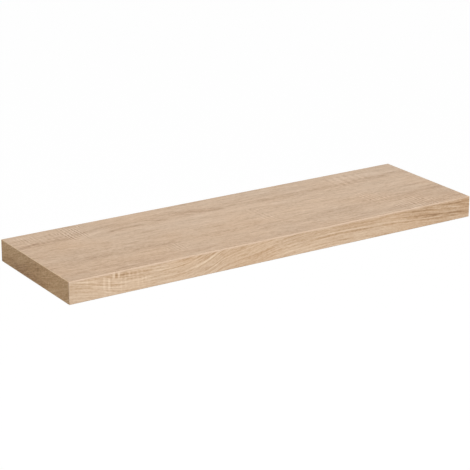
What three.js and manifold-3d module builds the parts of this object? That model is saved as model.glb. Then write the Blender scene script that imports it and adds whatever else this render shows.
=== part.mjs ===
// Floating wall shelf: a light hollow board in an oak decor, pushed onto the two rods of a steel bracket
// that stays hidden in a trough along the board's back edge. Two screws from below lock the board.
// Millimetres, +Z up, +Y into the wall. The origin is the middle of the wall plate's back face.
import * as THREE from "three";
import { mergeGeometries, mergeVertices } from "three/addons/utils/BufferGeometryUtils.js";
import Module from "manifold-3d";

// Board, outside
const boardLength = 800;
const boardDepth = 235;
const boardThickness = 38;
const bandThickness = 1;

// Board, inside
const skinThickness = 3;
const endRailWidth = 30;
const frontRailWidth = 30;
const rearRailWidth = 40;
const crossRailWidth = 50;
const cellWidth = 25;
const paperThickness = 0.6;
const paperGap = 0.5;

// Wall plate
const plateThickness = 3;
const plateGap = 2;
const plateCornerRadius = 4;
const plateEndMargin = 25;
const screwHeadRoom = 6;
const slotFromRod = 45;
const slotLength = 16;
const slotWidth = 6;

// Rods
const rodDiameter = 12;
const rodInsetLength = 180;
const rodTipToBoardFront = 85;
const rodTipChamfer = 1.5;
const rodWeldLeg = 2.5;
const spigotShoulder = 2;
const spigotClearance = 0.1;
const rodClearance = 0.3;
const boreOverrun = 8;

// Lock screws
const lockShankDiameter = 4;
const lockHeadDiameter = 8;
const lockHeadRim = 0.4;
const lockTipChamfer = 0.6;
const lockClearance = 0.2;
const lockTipGap = 0.3;

// Facets and cutting
const roundSteps = 32;
const edgeSteps = 5;
const cutOverrun = 1;
const drillPointShare = 0.3; // height of a drill's point, as a share of its diameter
const hexagonSides = 6;

// Faces of the board, worked out from the sizes above
const bandBack = -(boardDepth - bandThickness);
const skinEnd = boardLength / 2 - bandThickness;
const boardTop = boardThickness / 2;
const innerTop = boardTop - skinThickness;
const bayEnd = skinEnd - endRailWidth;
const frontRailBack = bandBack + frontRailWidth;
const rearRailBack = -(plateThickness + screwHeadRoom);
const rearRailFront = rearRailBack - rearRailWidth;

// Rods and what lines up with them
const rodRadius = rodDiameter / 2;
const rodTip = -(boardDepth - rodTipToBoardFront);
const rodPlace = boardLength / 2 - rodInsetLength;
const spigotRadius = rodRadius - spigotShoulder;
const boreRadius = rodRadius + rodClearance;
const plateEnd = rodPlace + slotFromRod + plateEndMargin;
const lockPlace = (rearRailFront + rodTip) / 2;
const sides = [
  { name: "left", sign: -1 },
  { name: "right", sign: 1 },
];

const oakDecor = new THREE.MeshStandardMaterial({ color: 0xcbb094, roughness: 0.55 });
const oakBand = new THREE.MeshStandardMaterial({ color: 0xd7b992, roughness: 0.5 });
const chipboard = new THREE.MeshStandardMaterial({ color: 0xc2a173, roughness: 0.9 });
const kraftPaper = new THREE.MeshStandardMaterial({ color: 0xa98659, roughness: 0.95 });
const zincSteel = new THREE.MeshStandardMaterial({ color: 0xb4b8bc, roughness: 0.35, metalness: 1 });

const wasm = await Module();
wasm.setup();

const axisX = new THREE.Vector3(1, 0, 0);
const axisY = new THREE.Vector3(0, 1, 0);
const axisZ = new THREE.Vector3(0, 0, 1);

// A closed geometry as a solid that can be joined and cut.
function solidOf(geometry) {
  const bare = geometry.clone();
  bare.deleteAttribute("normal");
  bare.deleteAttribute("uv");
  const merged = mergeVertices(bare);
  const vertProperties = merged.attributes.position.array;
  const triVerts = new Uint32Array(merged.index.array);
  return new wasm.Manifold(new wasm.Mesh({ numProp: 3, vertProperties, triVerts }));
}

function geometryOf(solid) {
  const { vertProperties, triVerts } = solid.getMesh();
  const geometry = new THREE.BufferGeometry();
  geometry.setAttribute("position", new THREE.BufferAttribute(new Float32Array(vertProperties), 3));
  geometry.setIndex(new THREE.BufferAttribute(triVerts, 1));
  geometry.computeVertexNormals();
  return geometry;
}

function cut(geometry, ...cutters) {
  return geometryOf(cutters.reduce((solid, cutter) => solid.subtract(solidOf(cutter)), solidOf(geometry)));
}

function overlapOf(first, ...others) {
  return geometryOf(others.reduce((solid, other) => solid.intersect(solidOf(other)), solidOf(first)));
}

// A block between two corners.
function block(x0, x1, y0, y1, z0, z1) {
  const geometry = new THREE.BoxGeometry(x1 - x0, y1 - y0, z1 - z0);
  return geometry.translate((x0 + x1) / 2, (y0 + y1) / 2, (z0 + z1) / 2);
}

function extrude(shape, depth) {
  return new THREE.ExtrudeGeometry(shape, { depth, bevelEnabled: false, curveSegments: edgeSteps });
}

// An outline drawn in Y and Z, run along the board from x0 to x1.
function alongBoard(shape, x0, x1) {
  const turn = new THREE.Matrix4().makeBasis(axisY, axisZ, axisX);
  return extrude(shape, x1 - x0).applyMatrix4(turn).translate(x0, 0, 0);
}

// An outline drawn in X and Z, run out from the wall from y0 to y1.
function outFromWall(shape, y0, y1) {
  const turn = new THREE.Matrix4().makeBasis(axisX, axisZ, axisY.clone().negate());
  return extrude(shape, y0 - y1).applyMatrix4(turn).translate(0, y0, 0);
}

// A turned piece on the Y axis. Its profile lists radius and place, with the places rising.
function turned(profile) {
  const points = profile.map(([radius, place]) => new THREE.Vector2(radius, place));
  return new THREE.LatheGeometry(points, roundSteps);
}

// The same on an upright axis, under the middle of a rod.
function turnedUpright(profile, sign) {
  return turned(profile).rotateX(Math.PI / 2).translate(sign * rodPlace, lockPlace, 0);
}

// A rectangle from (a0, b0) to (a1, b1) whose corners can be quarter circles.
function outline(a0, a1, b0, b1, { lowLow = 0, highLow = 0, highHigh = 0, lowHigh = 0 }) {
  const shape = new THREE.Shape();
  shape.moveTo(a0 + lowLow, b0);
  shape.lineTo(a1 - highLow, b0);
  if (highLow) shape.absarc(a1 - highLow, b0 + highLow, highLow, -Math.PI / 2, 0, false);
  shape.lineTo(a1, b1 - highHigh);
  if (highHigh) shape.absarc(a1 - highHigh, b1 - highHigh, highHigh, 0, Math.PI / 2, false);
  shape.lineTo(a0 + lowHigh, b1);
  if (lowHigh) shape.absarc(a0 + lowHigh, b1 - lowHigh, lowHigh, Math.PI / 2, Math.PI, false);
  shape.lineTo(a0, b0 + lowLow);
  if (lowLow) shape.absarc(a0 + lowLow, b0 + lowLow, lowLow, Math.PI, Math.PI * 1.5, false);
  return shape;
}

function everyCorner(radius) {
  return { lowLow: radius, highLow: radius, highHigh: radius, lowHigh: radius };
}

// The board's two faces: decor on thin fibreboard, the lower one with a countersunk hole at each rod.
function topSkin() {
  return block(-skinEnd, skinEnd, bandBack, 0, innerTop, boardTop);
}

function bottomSkin() {
  const plain = block(-skinEnd, skinEnd, bandBack, 0, -boardTop, -innerTop);
  return cut(plain, ...sides.map(({ sign }) => lockScrewHole(sign)));
}

// The front band laps over the end bands, and every outer edge of it is rounded by its own thickness.
function frontEdgeBand() {
  const end = boardLength / 2;
  const radius = bandThickness;
  const section = outline(-boardDepth, bandBack, -boardTop, boardTop, { lowLow: radius, lowHigh: radius });
  const plan = outline(-end, end, -boardDepth, bandBack, { lowLow: radius, highLow: radius });
  const face = outline(-end, end, -boardTop, boardTop, everyCorner(radius));
  return overlapOf(
    alongBoard(section, -end, end),
    extrude(plan, boardThickness).translate(0, 0, -boardTop),
    outFromWall(face, bandBack, -boardDepth),
  );
}

function endEdgeBand(sign) {
  const end = boardLength / 2;
  const radius = bandThickness;
  const section =
    sign < 0
      ? outline(-end, -skinEnd, -boardTop, boardTop, { lowLow: radius, lowHigh: radius })
      : outline(skinEnd, end, -boardTop, boardTop, { highLow: radius, highHigh: radius });
  return outFromWall(section, 0, bandBack);
}

// The frame between the skins. The end rails reach the wall and close the trough's two ends.
function endRail(sign) {
  const [x0, x1] = sign < 0 ? [-skinEnd, -bayEnd] : [bayEnd, skinEnd];
  return block(x0, x1, bandBack, 0, -innerTop, innerTop);
}

function frontRail() {
  return block(-bayEnd, bayEnd, bandBack, frontRailBack, -innerTop, innerTop);
}

function rearRail() {
  const plain = block(-bayEnd, bayEnd, rearRailFront, rearRailBack, -innerTop, innerTop);
  return cut(plain, ...sides.map(({ sign }) => rodBore(sign)));
}

// A solid rail behind each rod: the rod bears on it for its whole length.
function crossRail(sign) {
  const middle = sign * rodPlace;
  const reach = crossRailWidth / 2;
  const plain = block(middle - reach, middle + reach, frontRailBack, rearRailFront, -innerTop, innerTop);
  return cut(plain, rodBore(sign), lockScrewHole(sign));
}

// The blind hole that a rod slides into, drilled from the back edge.
function rodBore(sign) {
  const end = rodTip - boreOverrun;
  const profile = [
    [0, end - boreRadius * 2 * drillPointShare],
    [boreRadius, end],
    [boreRadius, cutOverrun],
    [0, cutOverrun],
  ];
  return turned(profile).translate(sign * rodPlace, 0, 0);
}

// Paper honeycomb in one bay: ribbons glued wall to wall, so the walls across X are double.
function honeycomb(x0, x1) {
  const y0 = frontRailBack;
  const y1 = rearRailFront;
  const sheet = block(x0 + paperGap, x1 - paperGap, y0 + paperGap, y1 - paperGap, -innerTop, innerTop);
  const rowPitch = cellWidth + 2 * paperThickness;
  const columnPitch = (Math.sqrt(3) * cellWidth) / 2 + paperThickness / Math.sqrt(3);
  const cellRadius = cellWidth / Math.sqrt(3);
  const cellHeight = 2 * (innerTop + cutOverrun);
  const cell = new THREE.CylinderGeometry(cellRadius, cellRadius, cellHeight, hexagonSides);
  cell.rotateX(Math.PI / 2);
  const rows = Math.ceil((x1 - x0) / 2 / rowPitch) + 1;
  const columns = Math.ceil((y1 - y0) / 2 / columnPitch) + 1;
  const cells = [];
  for (let column = -columns; column <= columns; column += 1) {
    const stagger = column % 2 === 0 ? 0 : rowPitch / 2;
    for (let row = -rows; row <= rows; row += 1) {
      const x = (x0 + x1) / 2 + row * rowPitch + stagger;
      const y = (y0 + y1) / 2 + column * columnPitch;
      cells.push(cell.clone().translate(x, y, 0));
    }
  }
  const walls = solidOf(sheet).subtract(solidOf(mergeGeometries(cells)));
  // Scraps that the cut leaves loose at a corner fall away.
  const largest = walls.decompose().reduce((best, part) => (part.volume() > best.volume() ? part : best));
  return geometryOf(largest);
}

// A countersunk screw from below. It ends just under the rod, as it is before it is tightened.
function lockScrewProfile(clearance) {
  const shank = lockShankDiameter / 2 + clearance;
  const head = lockHeadDiameter / 2 + clearance;
  const tip = -rodRadius - lockTipGap;
  return { shank, head, rim: -boardTop + lockHeadRim, neck: -boardTop + lockHeadRim + head - shank, tip };
}

function lockScrew(sign) {
  const { shank, head, rim, neck, tip } = lockScrewProfile(0);
  const profile = [
    [0, -boardTop],
    [head, -boardTop],
    [head, rim],
    [shank, neck],
    [shank, tip - lockTipChamfer],
    [shank - lockTipChamfer, tip],
    [0, tip],
  ];
  return turnedUpright(profile, sign);
}

function lockScrewHole(sign) {
  const { shank, head, rim, neck } = lockScrewProfile(lockClearance);
  const profile = [
    [0, -boardTop - cutOverrun],
    [head, -boardTop - cutOverrun],
    [head, rim],
    [shank, neck],
    [shank, -rodRadius / 2],
    [0, -rodRadius / 2],
  ];
  return turnedUpright(profile, sign);
}

// A slot with round ends, wide enough for a wall screw's shank and long enough to level the bracket.
function slot(x) {
  const radius = slotWidth / 2;
  const half = slotLength / 2 - radius;
  const hole = new THREE.Path();
  hole.moveTo(x - half, -radius);
  hole.lineTo(x + half, -radius);
  hole.absarc(x + half, 0, radius, -Math.PI / 2, Math.PI / 2, false);
  hole.lineTo(x - half, radius);
  hole.absarc(x - half, 0, radius, Math.PI / 2, Math.PI * 1.5, false);
  return hole;
}

function wallPlate() {
  const half = innerTop - plateGap;
  const shape = outline(-plateEnd, plateEnd, -half, half, everyCorner(plateCornerRadius));
  for (const { sign } of sides) {
    shape.holes.push(slot(sign * (rodPlace - slotFromRod)), slot(sign * (rodPlace + slotFromRod)));
  }
  const hole = spigotRadius + spigotClearance;
  const bore = turned([
    [0, -plateThickness - cutOverrun],
    [hole, -plateThickness - cutOverrun],
    [hole, cutOverrun],
    [0, cutOverrun],
  ]);
  const bores = sides.map(({ sign }) => bore.clone().translate(sign * rodPlace, 0, 0));
  return cut(outFromWall(shape, 0, -plateThickness), ...bores);
}

// A rod's spigot fills its hole in the plate, its shoulder sits on the plate and a weld runs round it.
function rod(sign) {
  const profile = [
    [0, rodTip],
    [rodRadius - rodTipChamfer, rodTip],
    [rodRadius, rodTip + rodTipChamfer],
    [rodRadius, -plateThickness - rodWeldLeg],
    [rodRadius + rodWeldLeg, -plateThickness],
    [spigotRadius, -plateThickness],
    [spigotRadius, 0],
    [0, 0],
  ];
  return turned(profile).translate(sign * rodPlace, 0, 0);
}

function piece(name, geometry, material) {
  const mesh = new THREE.Mesh(geometry, material);
  mesh.name = name;
  return mesh;
}

const board = new THREE.Group();
board.add(
  piece("top_skin", topSkin(), oakDecor),
  piece("bottom_skin", bottomSkin(), oakDecor),
  piece("front_edge_band", frontEdgeBand(), oakBand),
  piece("front_rail", frontRail(), chipboard),
  piece("rear_rail", rearRail(), chipboard),
);

const crossRailReach = crossRailWidth / 2;
board.add(
  piece("honeycomb_left", honeycomb(-bayEnd, -rodPlace - crossRailReach), kraftPaper),
  piece("honeycomb_middle", honeycomb(-rodPlace + crossRailReach, rodPlace - crossRailReach), kraftPaper),
  piece("honeycomb_right", honeycomb(rodPlace + crossRailReach, bayEnd), kraftPaper),
);

const bracket = new THREE.Group();
bracket.add(piece("wall_plate", wallPlate(), zincSteel));

for (const { name, sign } of sides) {
  board.add(
    piece(`${name}_edge_band`, endEdgeBand(sign), oakBand),
    piece(`${name}_end_rail`, endRail(sign), chipboard),
    piece(`${name}_cross_rail`, crossRail(sign), chipboard),
    piece(`${name}_lock_screw`, lockScrew(sign), zincSteel),
  );
  bracket.add(piece(`${name}_rod`, rod(sign), zincSteel));
}

const shelf = new THREE.Group();
shelf.add(board, bracket);

export default shelf;
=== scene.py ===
import math

import bmesh
import bpy
from mathutils import Matrix, Vector


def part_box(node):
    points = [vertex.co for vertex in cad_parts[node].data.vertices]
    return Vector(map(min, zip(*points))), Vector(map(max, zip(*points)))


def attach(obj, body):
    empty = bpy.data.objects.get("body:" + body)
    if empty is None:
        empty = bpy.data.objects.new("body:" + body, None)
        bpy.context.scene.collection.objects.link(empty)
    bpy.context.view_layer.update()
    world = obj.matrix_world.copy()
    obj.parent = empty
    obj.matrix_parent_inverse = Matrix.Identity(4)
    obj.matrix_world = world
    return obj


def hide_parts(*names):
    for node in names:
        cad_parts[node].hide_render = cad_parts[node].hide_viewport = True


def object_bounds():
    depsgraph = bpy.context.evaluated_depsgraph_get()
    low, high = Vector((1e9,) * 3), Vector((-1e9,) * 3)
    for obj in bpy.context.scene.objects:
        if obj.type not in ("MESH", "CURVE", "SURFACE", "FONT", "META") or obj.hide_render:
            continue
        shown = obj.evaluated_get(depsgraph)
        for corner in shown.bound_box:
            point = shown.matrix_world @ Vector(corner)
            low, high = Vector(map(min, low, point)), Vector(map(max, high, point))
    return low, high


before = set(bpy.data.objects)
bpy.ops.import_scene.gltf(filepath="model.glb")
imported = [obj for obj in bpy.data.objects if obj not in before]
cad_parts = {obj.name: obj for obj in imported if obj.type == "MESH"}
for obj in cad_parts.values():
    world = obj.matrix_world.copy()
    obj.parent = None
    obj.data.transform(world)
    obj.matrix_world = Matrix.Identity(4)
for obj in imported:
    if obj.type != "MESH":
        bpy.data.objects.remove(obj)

# A floating wall shelf: a hollow board in a sawn oak print on the rods of a hidden steel bracket.
# Metres, +Z up, +Y into the wall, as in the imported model. Sizes of prints and textures are in mm.
cad_low, cad_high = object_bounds()

MM = 0.001
MM_PER_METRE = 1000

# Bracket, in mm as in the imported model
SIDES = (("left", -1), ("right", 1))
ROD_AT = 220
ROD_RADIUS = 6
ROD_TIP = -150
ROD_CHAMFER = 1.5
SPIGOT_RADIUS = 4
SPIGOT_EASE = 0.2
PLATE_FRONT = -3
WELD_AT = PLATE_FRONT - 0.5
WELD_RING = 6.5
WELD_BEAD = 1.95
WELD_SCALES = 22
WELD_OVERLAP = 0.16
POINTS_A_SCALE = 8
WELD_SIDES = 14

# Lock screws, in mm. A recess level is (depth past the head's face, half length, half width) of the
# cross, at its mouth and at its floor. The thread fades to a share of its height at each end, over a
# share of its length.
SCREW_BACK = -99.5
HEAD_FACE = -19
HEAD_RADIUS = 4
HEAD_EASE = 0.15
CONE_START = HEAD_FACE + 0.4
CONE_END = HEAD_FACE + 2.4
NECK_RADIUS = 2
SHANK_START = HEAD_FACE + 2.9
SCREW_TIP = -6.3
TIP_TAPER = 0.5
THREAD_CORE = 1.6
THREAD_RIDGE = 0.4
THREAD_PITCH = 1.8
THREAD_LENGTH = 9
THREAD_FADED = 0.2
THREAD_FADE = 0.12
POINTS_A_TURN = 32
THREAD_SIDES = 3
RECESS_LEVELS = ((-0.4, 2.45, 0.62), (1.9, 0.75, 0.32))

# Paper core: the cell and the paper in mm, and the flat walls in one ribbon's zigzag
CELL = 25
PAPER = 0.5
RIBBON_WALLS = 7

# Meshes: how near two points are one, in mm, and up to what angle faces are one flat or shaded smooth.
# Edges over the third angle are eased, in so many steps.
SAME_POINT = 0.001
FLAT_WITHIN = math.radians(0.2)
SMOOTH_WITHIN = math.radians(25)
EASED_OVER = math.radians(35)
EASE_STEPS = 2
LATHE_STEPS = 96

# Camera, fitted to the photograph's eight edges of the board
CAMERA_PLACE = Vector((-1.56818, -2.49003, 0.97636))
CAMERA_AIM = Vector((0.03243, -0.03890, -0.04263))
CAMERA_ROLL = math.radians(0.227)
CAMERA_LENS_MM = 134.9
CAMERA_REACH = 100
SENSOR_MM = 36

# Stage and light
FLOOR_BELOW = 1.45
FLOOR_REACH = 14
FLOOR_TONE = 0.5
FLOOR_GLOW_SHARE = 0.85
FLOOR_GLOW = 1.08
AMBIENT = 0.47
KEY_WATTS = 80
KEY_SIZE = 1.8
KEY_DISTANCE = 3.2
KEY_FROM = Vector((0.0, -0.78, 0.60))

CELLS = "ShaderNodeTexVoronoi"
JOIN_XYZ = "ShaderNodeCombineXYZ"
MESH_LINE = "GeometryNodeMeshLine"
MIX_SHADER = "ShaderNodeMixShader"
WHITE = (1, 1, 1, 1)


def linear(hex_colour):
    """An sRGB hex colour as the linear colour that Blender's sockets hold."""
    shares = [int(hex_colour[i : i + 2], 16) / 255 for i in (0, 2, 4)]
    return [s / 12.92 if s <= 0.04045 else ((s + 0.055) / 1.055) ** 2.4 for s in shares] + [1]


def add(tree, kind, joins=None, **settings):
    """Adds a node with its settings, sets or links its inputs, and gives its first output in use."""
    node = tree.nodes.new(kind)
    for name, value in settings.items():
        setattr(node, name, value)
    for key, value in (joins or {}).items():
        if isinstance(value, bpy.types.NodeSocket):
            tree.links.new(value, node.inputs[key])
        else:
            node.inputs[key].default_value = value
    return next((output for output in node.outputs if output.enabled), None)


def calc(tree, operation, *values, **settings):
    """The result of a Math node with these values."""
    return add(tree, "ShaderNodeMath", dict(enumerate(values)), operation=operation, **settings)


def vector(tree, operation, *values):
    """The result of a Vector Math node with these vectors."""
    return add(tree, "ShaderNodeVectorMath", dict(enumerate(values)), operation=operation)


def spread(tree, value, low, high, to_low, to_high, **settings):
    """Maps low to to_low and high to to_high, and holds the ends. Noise lies mostly in 0.3 to 0.7."""
    joins = {0: value, 1: low, 2: high, 3: to_low, 4: to_high}
    return add(tree, "ShaderNodeMapRange", joins, **settings)


def average(tree, one, other):
    """The value halfway between two."""
    return calc(tree, "MULTIPLY", calc(tree, "ADD", one, other), 0.5)


def noise(tree, place, scale, detail, **inputs):
    """Noise at a place in mm. Three scales, one for each axis, draw it out."""
    if isinstance(scale, tuple):
        place, scale = vector(tree, "MULTIPLY", place, scale), 1.0
    return add(tree, "ShaderNodeTexNoise", {"Vector": place, "Scale": scale, "Detail": detail, **inputs})


def fibre(tree, grain, length, width, detail=2.0):
    """Noise drawn out along the grain, with marks about this long and wide in mm."""
    return noise(tree, grain, (1 / length, 1 / width, 1), detail, Roughness=0.55)


def sway(tree, grain, length, width, detail=1.0):
    """Noise as fibre gives it, but about zero."""
    return calc(tree, "ADD", fibre(tree, grain, length, width, detail), -0.5)


def ramp(tree, tone, stops):
    """A colour that runs through the stops, each a tone from 0 to 1 and a hex colour."""
    colour = add(tree, "ShaderNodeValToRGB", {0: tone})
    elements = colour.node.color_ramp.elements
    while len(elements) < len(stops):
        elements.new(1)
    for element, (position, hex_colour) in zip(elements, stops):
        element.position = position
        element.color = linear(hex_colour)
    return colour


def bumped(tree, height, strength, depth):
    """The surface's normal where this height raises it by up to a depth in mm."""
    return add(tree, "ShaderNodeBump", {"Height": height, "Strength": strength, "Distance": depth * MM})


def emptied(owner):
    """The cleared node tree of a material or a world."""
    owner.use_nodes = True
    owner.node_tree.nodes.clear()
    return owner.node_tree


def new_material(name):
    """An empty node material: its tree and the Object coordinates in mm."""
    material = bpy.data.materials.new(name)
    tree = emptied(material)
    at_object = add(tree, "ShaderNodeTexCoord").node.outputs["Object"]
    return material, tree, vector(tree, "MULTIPLY", at_object, (MM_PER_METRE,) * 3)


def finish_material(tree, **inputs):
    """Ends a tree in a Principled shader with these inputs, underscores standing for spaces."""
    shader = add(tree, "ShaderNodeBsdfPrincipled", {k.replace("_", " "): v for k, v in inputs.items()})
    add(tree, "ShaderNodeOutputMaterial", {"Surface": shader})


def finish_metal(tree, tone, stops, roughness, relief):
    """Ends a tree in bare metal. Roughness is what spread takes, and relief what bumped takes."""
    colour = ramp(tree, tone, stops)
    sheen = spread(tree, *roughness)
    bump = bumped(tree, *relief)
    finish_material(tree, Base_Color=colour, Metallic=1.0, Roughness=sheen, Normal=bump)


# What the oak prints of all faces share, in mm along the grain and across it. Marks are the length and
# the width of a noise's marks, and a spread is the four numbers that the function of that name takes.
# Wanders are shares of a pitch, and the fray is one of a patch's half size.
FLOW_REACH = 400
FLOW_LIFT = 120
BEND_MARKS = (190, 60)
UNEVEN_MARKS = (60, 8)
ROW_MARKS = (24, 4.5)
ROW_SPREAD = (0.32, 0.62, 0.6, 1.15)
RIDGE_MARKS = (30, 3.0)
RIDGE_SPREAD = (0.36, 0.62, 0.35, 1.5)
CUT_SPREAD = (0.36, 0.60, 0.15, 1.35)
RAGGED_MARKS = (40, 9)
PORE_MARKS = (7, 0.32)
PORE_SPREAD = (0.58, 0.70, 0.0, 1.0)
RELIEF_MARKS = (30, 1.2)
RING_WANDER = 1.6
CUT_WANDER = 1.1
PATCH_FRAY = 1.8
PORE_DARKNESS = 0.16
PORE_DULLING = 0.15
PORE_RELIEF = 0.6
RELIEF_STRENGTH = 0.35
RELIEF_DEPTH = 0.06
# How far the painted highlight along a band's rounded top edge goes towards its pale colour
PAINTED_HIGHLIGHT_SHARE = 0.9

# Red, green and blue are multiplied by the start plus the span times a slow noise, the warmth
WARM_MARKS = (110, 60)
WARM_START = (0.96, 1.0, 1.05)
WARM_SPAN = (0.08, 0.0, -0.10)

# The decor of each face. Its bend is how far the grain wanders across, and its drift what the warmth gains
# from the middle to the right end. The flow is how far the growth rings rise and fall: (along, shift).
# Layers of grain are (length, width, strength), and the last two are so fine that they show only up close.
# Rings are even growth rings: (middle along, half length, middle across, half width, pitch, strength).
# Strokes are rings that stand out, and broad dark or pale bands: (start, end, across at start, middle and
# end, half width, strength). Saw patches are where the cross cuts of the saw show: (a cut's place along,
# middle across, half length, half width, pitch, sharpness, strength). Cuts are single ones: (place, low,
# high, half width, strength). Strengths are shares of the print's tone, below zero where a stroke is pale
# or a cut is dark. Stops are its colours from the darkest tone to the palest.
TOP_DECOR = {
    "axes": ("X", "Y"),
    "seed": 4.3,
    "bend": 5.0,
    "drift": -0.10,
    "flow": [],
    "layers": [
        (300, 30, 0.20), (120, 11, 0.30), (55, 5, 0.46), (24, 2.8, 0.50), (9, 3.4, 0.46),
        (4.5, 5.0, 0.36), (34, 0.8, 0.34), (12, 0.35, 0.24),
    ],
    "rings": [],
    "strokes": [
        (-404, -352, -63, -56, -50, 5.5, 0.26),
        (-376, -292, -53, -52, -58, 7.0, 0.20),
        (-335, -275, -49, -47, -48, 10, 0.09),
        (-292, -200, -51, -38, -34, 5.0, 0.20),
        (-300, -230, -68, -58, -46, 6.5, -0.18),
        (-246, -152, -67, -57, -64, 5.2, 0.28),
        (-216, -158, -38, -42, -46, 6.0, 0.12),
        (-158, -112, -42, -51, -65, 3.0, 0.30),
        (-146, -104, -38, -45, -57, 2.8, 0.26),
        (-172, -100, -27, -26, -31, 5.0, 0.12),
        (-262, -158, -36, -31, -28, 4.0, 0.10),
        (-114, 2, -28, -43, -58, 11, 0.18),
        (-76, 8, -40, -56, -58, 6.0, 0.20),
        (-106, -58, -42, -51, -63, 4.0, 0.14),
        (-10, 560, -56, -56, -52, 12, 0.12),
        (-62, -22, -57, -58, -58, 4.5, 0.12),
        (-40, 112, -49, -54, -57, 8.0, 0.13),
        (88, 120, -62, -69, -74, 3.5, 0.10),
        (190, 262, -78, -72, -66, 4.0, 0.10),
        (160, 212, -55, -57, -59, 4.5, 0.13),
        (300, 362, -53, -51, -58, 6.0, 0.11),
        (334, 422, -52, -44, -38, 5.0, 0.12),
        (170, 500, -92, -95, -98, 16, -0.06),
        (-250, -206, -168, -160, -165, 3.6, 0.17),
        (-218, -162, -158, -163, -159, 4.2, 0.17),
        (-340, -262, -154, -158, -157, 5.0, 0.08),
        (-700, -100, -158, -158, -162, 18, 0.06),
        (-116, -46, -128, -130, -128, 4.5, 0.12),
        (-112, -78, -163, -168, -165, 4.0, 0.12),
        (-62, -38, -174, -164, -158, 4.0, 0.12),
        (16, 64, -163, -172, -186, 4.5, 0.13),
        (-20, 132, -174, -164, -154, 4.5, 0.12),
        (100, 196, -187, -181, -178, 4.5, 0.08),
        (184, 284, -168, -165, -159, 5.0, -0.12),
        (206, 286, -150, -144, -135, 3.6, 0.11),
        (168, 336, -196, -194, -193, 9.0, -0.11),
        (288, 470, -221, -221, -219, 8.0, 0.18),
        (50, 260, -172, -177, -176, 14, 0.07),
        (196, 304, -220, -221, -221, 5.0, 0.12),
        (268, 424, -131, -126, -121, 5.0, 0.14),
        (-420, -290, -105, -106, -109, 3.2, 0.09),
        (-424, -284, -65, -60, -61, 4.5, 0.12),
        (-280, 240, -18, -18, -18, 12, -0.05),
        (-200, 240, -106, -115, -126, 16, -0.05),
        (240, 352, -36, -36, -38, 18, -0.08),
        (180, 284, -101, -98, -94, 5.0, -0.09),
        (-250, 20, -93, -90, -96, 8.0, 0.06),
        (-220, -60, -170, -176, -181, 7.0, -0.06),
        (-270, -120, -72, -77, -72, 7.0, -0.06),
        (258, 430, -168, -163, -158, 4.0, 0.11),
        (350, 480, -158, -156, -154, 20, 0.08),
        (-352, -276, -202, -202, -204, 4.0, 0.10),
        (-440, -350, -228, -227, -226, 4.0, 0.09),
        (-330, -190, -221, -222, -221, 4.5, 0.12),
        (-240, -110, -218, -217, -216, 5.0, 0.09),
        (-900, 900, -236, -236, -236, 60, 0.09),
        (-900, 900, -34, -34, -34, 100, -0.05),
        (-900, 900, -172, -172, -172, 30, 0.04),
        (-500, -280, -80, -84, -88, 50, 0.05),
        (180, 600, -24, -24, -24, 34, -0.035),
        (-60, 180, -176, -178, -180, 70, -0.03),
        (-240, -60, -206, -206, -206, 40, -0.03),
    ],
    "saw_patches": [
        (-288, -34, 28, 34, 5.7, 1.0, 0.74),
        (-346, -40, 50, 24, 9.0, 1.0, 0.24),
        (-372, -26, 30, 16, 6.4, 1.0, 0.34),
        (275.5, -40, 50, 34, 15, 1.0, 0.22),
        (296, -206, 46, 36, 7.6, 1.0, 0.38),
        (252, -138, 30, 34, 8.5, 1.0, 0.34),
        (33, -122, 18, 46, 8.5, 1.0, 0.26),
        (-175, -190, 22, 18, 6.0, 1.0, 0.34),
    ],
    "cuts": [],
    "stops": [(0.0, "A28063"), (0.25, "BC9D80"), (0.5, "CFB295"), (0.75, "DBC0A6"), (1.0, "E7CFB7")],
}
UNDER_DECOR = {
    **TOP_DECOR,
    "seed": 11.7,
    "strokes": [
        (-360, -180, -150, -160, -158, 7, 0.20),
        (-120, 40, -88, -80, -86, 6, 0.20),
        (-90, 30, -96, -90, -99, 4, 0.16),
        (90, 330, -176, -168, -180, 8, 0.18),
        (200, 360, -60, -52, -58, 5, 0.16),
        (-380, -250, -40, -46, -38, 5, 0.16),
    ],
    "saw_patches": [
        (-290, -70, 44, 30, 5.7, 1.0, 0.34),
        (180, -140, 40, 36, 7.6, 1.0, 0.28),
    ],
}
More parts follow.
